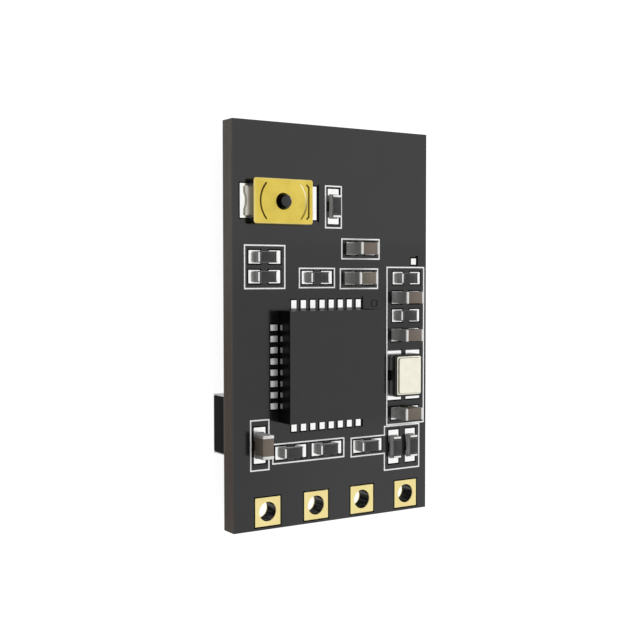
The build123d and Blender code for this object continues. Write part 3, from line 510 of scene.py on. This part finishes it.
def moulding(name, colour, roughness, depth=0.004, gloss=0.5):
    """Filled epoxy or nylon, with a fine spark-eroded texture."""
    paint = Paint(name, colour, roughness, Specular_IOR_Level=gloss)
    fine = paint.grain(22.0, 3.0, 0.6)
    broad = paint.grain(2.2, 3.0, 0.5, shift=(1.0, 5.0, 2.0))
    body = paint.mix(paint.ramp(broad, 0.3, 0.7), colour, shaded(colour, 1.25))
    paint.feed("Base Color", body)
    paint.feed("Roughness", roughness - 0.04 + fine * 0.12)
    paint.relief(fine, depth)
    return paint.material


def chip_epoxy(name):
    """Chip moulding: a matt top, and sawn, glossy walls painted near black with a dark metallic
    sheen as painted shade.
    """
    top = (0.0115, 0.0115, 0.0120)
    paint = Paint(name, (0.016, 0.016, 0.0165), 0.5, IOR=1.46)
    up = paint.level(0.5, 0.9)
    fine = paint.grain(24.0, 3.0, 0.6)
    cloud = paint.grain(1.1, 3.0, 0.5)
    matt = paint.mix(paint.ramp(cloud, 0.3, 0.7), shaded(top, 0.92), shaded(top, 1.06))
    saw = paint.grain(1.0, 2.0, 0.5, stretch=(3.0, 3.0, 30.0))
    # Painted shade: the walls are painted near black, and a dark metallic sheen dims their gloss.
    wall = paint.mix(saw, grey(0.001), grey(0.003))
    paint.feed("Base Color", paint.mix(up, wall, matt))
    paint.feed("Metallic", 0.8 - up * 0.8)
    paint.feed("Roughness", 0.34 - up * 0.04 + fine * 0.04)
    paint.relief(fine * up + saw * (1.0 - up) * 0.2, 0.0015)
    return paint.material


def resistor_coat():
    """Chip resistor: a dark glassy coat on top, pale grey sawn ceramic at its sides."""
    paint = Paint("resistor_coat", grey(0.03), 0.35)
    up = paint.level()
    fine = paint.grain(20.0, 3.0, 0.6)
    cloud = paint.ramp(paint.grain(4.0, 2.0), 0.3, 0.7)
    coat = paint.mix(cloud, (0.009, 0.009, 0.0095), (0.016, 0.016, 0.0165))
    ceramic = paint.mix(fine, grey(0.56), grey(0.74))
    paint.feed("Base Color", paint.mix(up, ceramic, coat))
    paint.feed("Roughness", 0.62 - up * 0.30 + fine * 0.05)
    paint.relief(fine, 0.003)
    return paint.material


def resistor_cap():
    """Bright cap of a chip resistor, its walls painted darker as painted shade, under the coat's
    dark run-out at its inner edge.
    """
    paint = Paint("resistor_cap", (0.88, 0.88, 0.87), 0.55)
    x, y, z = paint.parts_of(paint.place())
    up = paint.level()
    satin = paint.grain(26.0, 3.0, 0.6)
    covered = 0.0
    for node in RESISTORS:
        low, high = corners(node)
        centre = (low + high) / 2
        half = (high - low) / 2
        along, across, reach = abs(x - centre.x), abs(y - centre.y), half.x
        if half.y > half.x:
            along, across, reach = across, along, half.y
        inner = paint.ramp(along, reach - COAT_EDGE, reach - COAT_EDGE - 0.02)
        covered = paint.either(covered, inner * (across < min(half.x, half.y) + 0.08))
    covered = covered * up * (z > MASK_LEVEL)
    # Painted shade: walls darker than the top.
    body = paint.mix(up, (0.365, 0.365, 0.36), (0.90, 0.90, 0.89))
    paint.feed("Base Color", paint.mix(covered, body, (0.012, 0.012, 0.0125)))
    paint.feed("Roughness", 0.55 + satin * 0.06 - covered * 0.2)
    paint.relief(satin, 0.001)
    return paint.material


def capacitor_ceramic():
    """Fired brown ceramic with faint layers along its sides."""
    paint = Paint("capacitor_ceramic", (0.18, 0.15, 0.13), 0.5)
    layers = paint.grain(1.0, 2.0, 0.5, stretch=(0.6, 0.6, 42.0))
    fine = paint.grain(20.0, 4.0, 0.6)
    cloud = paint.grain(0.9, 2.0, 0.5, shift=(7.0, 3.0, 0.0))
    body = paint.mix(paint.ramp(cloud, 0.40, 0.60), (0.122, 0.105, 0.076), (0.146, 0.112, 0.088))
    body = paint.mix(paint.ramp(fine, 0.55, 0.75) * 0.25, body, (0.10, 0.08, 0.06))
    body = paint.mix(paint.ramp(layers, 0.5, 0.7) * 0.10, body, (0.25, 0.21, 0.16))
    paint.feed("Base Color", body)
    paint.feed("Roughness", 0.50 + fine * 0.12)
    paint.relief(fine * 0.8 + layers * 0.2, 0.006)
    return paint.material


# Shapes

SHARP_ANGLE = math.radians(50.0)
ROUNDED_ANGLE = math.radians(25.0)
FLAT_ANGLE = math.radians(1.0)


def from_solid(shape, node):
    """Take a solid into a shape that is made in millimetres."""
    shape.from_mesh(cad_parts[node].data)
    bmesh.ops.scale(shape, vec=TO_MM, verts=shape.verts)
    bmesh.ops.remove_doubles(shape, verts=shape.verts, dist=SAME_SPOT)


def stand_for(node):
    """Let a piece stand for a solid, which it hides."""
    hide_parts(node)


def mesh_piece(name, build, material, body="board"):
    """A new piece whose mesh the build function makes in millimetres."""
    mesh = bpy.data.meshes.new(name)
    shape = bmesh.new()
    build(shape)
    bmesh.ops.scale(shape, vec=TO_METRES, verts=shape.verts)
    shape.to_mesh(mesh)
    shape.free()
    piece = bpy.data.objects.new(name, mesh)
    bpy.context.collection.objects.link(piece)
    mesh.materials.append(material)
    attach(piece, body)
    return piece


def smooth_shading(piece):
    """Smooth shading that keeps sharp edges sharp."""
    piece.data.shade_smooth()
    piece.data.set_sharp_from_angle(angle=SHARP_ANGLE)


def softened(node, width, material, segments=2, body="board"):
    """A copy of a solid with small rounds on its edges, which stands for it."""

    def build(shape):
        from_solid(shape, node)
        bmesh.ops.dissolve_limit(
            shape,
            angle_limit=FLAT_ANGLE,
            verts=shape.verts,
            edges=shape.edges,
            delimit={"NORMAL"},
        )
        edges = [
            edge
            for edge in shape.edges
            if len(edge.link_faces) == 2 and edge.calc_face_angle() > ROUNDED_ANGLE
        ]
        bmesh.ops.bevel(
            shape,
            geom=edges,
            offset=width,
            segments=segments,
            profile=0.5,
            affect="EDGES",
            clamp_overlap=True,
        )

    piece = mesh_piece(f"{node}_rounded", build, material, body)
    smooth_shading(piece)
    flats = piece.modifiers.new("flats", "WEIGHTED_NORMAL")
    flats.keep_sharp = True
    flats.weight = 100
    stand_for(node)


def sprung(node, material):
    """A copy of a spring, which stands for it."""
    low, high = corners(node)
    piece = mesh_piece(f"{node}_spring", lambda shape: from_solid(shape, node), material)
    smooth_shading(piece)
    stand_for(node)
    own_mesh(piece)


def printed(*nodes):
    """Printed lines whose ink runs out dark and thin along both of their edges."""
    ink = white_print()
    rim = moulding("print_rim", grey(0.012), 0.5, gloss=0.1)

    for node in nodes:

        def build(shape, node=node):
            from_solid(shape, node)
            shape.normal_update()
            flat = [face for face in shape.faces if abs(face.normal.z) > 0.9]
            made = bmesh.ops.inset_region(
                shape, faces=flat, thickness=PRINT_RIM, use_even_offset=True
            )
            for face in made["faces"]:
                face.material_index = 1

        piece = mesh_piece(f"{node}_ink", build, ink)
        piece.data.materials.append(rim)
        stand_for(node)


def dress(material, *nodes):
    """Give the finish to solids that are seen as they are."""
    for node in nodes:
        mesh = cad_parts[node].data
        mesh.materials.clear()
        mesh.materials.append(material)


# The board and its parts

dress(board_edge(), "laminate")
dress(solder_mask("mask_front"), "front_mask")
dress(solder_mask("mask_back", flip=True), "back_mask")
printed("front_legend", "back_legend")
dress(land_finish(), "front_lands", "back_lands")
dress(gold("pad_gold", (0.89, 0.76, 0.35), (0.84, 0.71, 0.31), 0.32), *WIRE_PADS)

softened("switch_cover", 0.018, cover_finish())
black = moulding("black_moulding", grey(0.008), 0.42, gloss=0.25)
softened("switch_base", 0.02, black)
softened("switch_plunger", 0.01, plunger_finish(), body="plunger")
dome_steel = tinned("dome_steel", grey(0.62), 0.25)
sprung("switch_dome", dome_steel)
# Walls painted darker by the side colour: painted shade.
plate = tinned(
    "lead_tin", (0.88, 0.88, 0.865), 0.35, depth=0.002, metal=0.4, side=(0.62, 0.62, 0.61)
)
softened("switch_terminals", 0.015, terminal_tin())

for name in ("controller", "transceiver"):
    softened(f"{name}_body", 0.012, chip_epoxy(f"{name}_epoxy"))
dress(plate, "controller_leads", "transceiver_leads")

ceramic = moulding("crystal_ceramic", (0.007, 0.007, 0.0075), 0.40, 0.002, gloss=0.4)
for name, rim_side in (("crystal", 1), ("oscillator", -1)):
    softened(f"{name}_base", 0.015, ceramic)
    softened(f"{name}_lid", 0.012, lid_metal(f"{name}_lid_metal", f"{name}_lid", rim_side))
    pad_gold = gold(f"{name}_pad_gold", (0.30, 0.22, 0.09), (0.26, 0.19, 0.07), 0.5)
    dress(pad_gold, f"{name}_pads")

coat = resistor_coat()
brown = capacitor_ceramic()
for node in RESISTORS + BACK_RESISTORS:
    softened(node, 0.012, coat)
for node in CAPACITORS + BACK_CAPACITORS:
    softened(node, 0.02, brown)
softened("resistor_terminals", 0.012, resistor_cap())
# Walls painted darker by the side colour: painted shade.
cap_tin = tinned(
    "cap_tin", (0.74, 0.735, 0.72), 0.55, depth=0.002, metal=0.0, side=(0.365, 0.365, 0.36)
)
softened("capacitor_terminals", 0.02, cap_tin)
solder = tinned("solder", (0.26, 0.26, 0.255), 0.55, depth=0.001, metal=0.0)
softened("solder_joints", 0.006, solder)

inductor_black = moulding("inductor_black", grey(0.008), 0.5, gloss=0.03)
softened("inductor_body", 0.05, inductor_black, segments=3)
dress(plate, "inductor_terminals", "regulator_leads")
softened("regulator_body", 0.03, moulding("regulator_epoxy", (0.014, 0.014, 0.0145), 0.4))
softened("antenna_socket_base", 0.03, moulding("socket_moulding", (0.60, 0.56, 0.47), 0.42))
socket_gold = gold("socket_gold", (0.80, 0.62, 0.22), (0.72, 0.55, 0.18), 0.24)
dress(socket_gold, "antenna_socket_ring", "antenna_socket_pin")


# Floor, light and camera

FLOOR_HALF = 2.0
FLOOR_GLOW = 0.93
EDGE_BOX = {"place": (95.0, 32.0, 34.0), "size": 22.0, "power": 0.012}
LAMPS_AIM = (0.0, 0.0, 1.5)
SKY_BRIGHT_SIDE = (0.62, 0.10, 0.78)
SKY_DIM, SKY_BRIGHT = 0.06, 1.36
CAMERA_PLACE = (-27.256, 2.197, 43.81)
CAMERA_RIGHT = (0.8442, -0.00065, 0.5360)
CAMERA_UP = (0.02188, 0.99921, -0.03324)
CAMERA_BACK = (-0.53558, 0.03979, 0.84354)
CAMERA_LENS = 61.01


def floor_finish():
    """Pale floor that the camera and the shiny parts see as white, with a soft shadow."""
    paint = Paint("floor", grey(0.8), 0.9)
    paint.feed("Base Color", (0.2, 0.2, 0.2, 1.0))
    paint.feed("Emission Color", (1.0, 1.0, 1.0, 1.0))
    paint.feed("Emission Strength", FLOOR_GLOW)
    matt = paint.node("ShaderNodeBsdfDiffuse", None, {"Color": (0.75, 0.75, 0.75, 1.0)})
    blend = paint.node("ShaderNodeMixShader", None, {"Fac": paint.seen_rays()})
    paint.tree.links.new(matt.outputs[0], blend.inputs[1])
    paint.tree.links.new(paint.shader.outputs[0], blend.inputs[2])
    paint.tree.links.new(blend.outputs[0], paint.tree.nodes["Material Output"].inputs["Surface"])
    return paint.material


floor = bpy.data.objects.new("floor", bpy.data.meshes.new("floor"))
bpy.context.collection.objects.link(floor)
square = ((-1, -1), (1, -1), (1, 1), (-1, 1))
floor_corners = [(x * FLOOR_HALF, y * FLOOR_HALF, 0) for x, y in square]
floor.data.from_pydata(floor_corners, [], [(0, 1, 2, 3)])
floor.data.materials.append(floor_finish())


def area_light(name, place, size, power):
    """A square soft box that looks at the board."""
    data = bpy.data.lights.new(name, "AREA")
    data.size = size * MM
    data.energy = power
    lamp = bpy.data.objects.new(name, data)
    lamp.location = Vector(place) * MM
    towards = Vector(LAMPS_AIM) * MM - lamp.location
    lamp.rotation_euler = towards.to_track_quat("-Z", "Y").to_euler()
    bpy.context.collection.objects.link(lamp)


area_light("edge_box", **EDGE_BOX)


class Sky(Paint):
    """Studio dome: bright over the right shoulder of the board, dim at its left."""

    def __init__(self, towards, low, high):
        world = bpy.data.worlds.new("studio")
        bpy.context.scene.world = world
        world.use_nodes = True
        self.tree = world.node_tree
        self.shader = self.tree.nodes["Background"]
        aim = self.vector("DOT_PRODUCT", self.coordinate("Generated"), Vector(towards).normalized())
        glow = self.ramp(aim, -0.1, 0.9, low, high)
        self.feed("Color", (1.0, 1.0, 1.0, 1.0))
        self.feed("Strength", glow + self.seen_rays() * (1.0 - glow))


Sky(SKY_BRIGHT_SIDE, SKY_DIM, SKY_BRIGHT)

eye = bpy.data.cameras.new("camera")
eye.lens = CAMERA_LENS
eye.sensor_width = 36.0
eye.clip_start = 0.001
eye.clip_end = 10.0
camera = bpy.data.objects.new("camera", eye)
turn = Matrix((CAMERA_RIGHT, CAMERA_UP, CAMERA_BACK)).transposed().to_4x4()
camera.matrix_world = Matrix.Translation(Vector(CAMERA_PLACE) * MM) @ turn
bpy.context.collection.objects.link(camera)
bpy.context.scene.camera = camera
bpy.context.scene.view_settings.view_transform = "Standard"
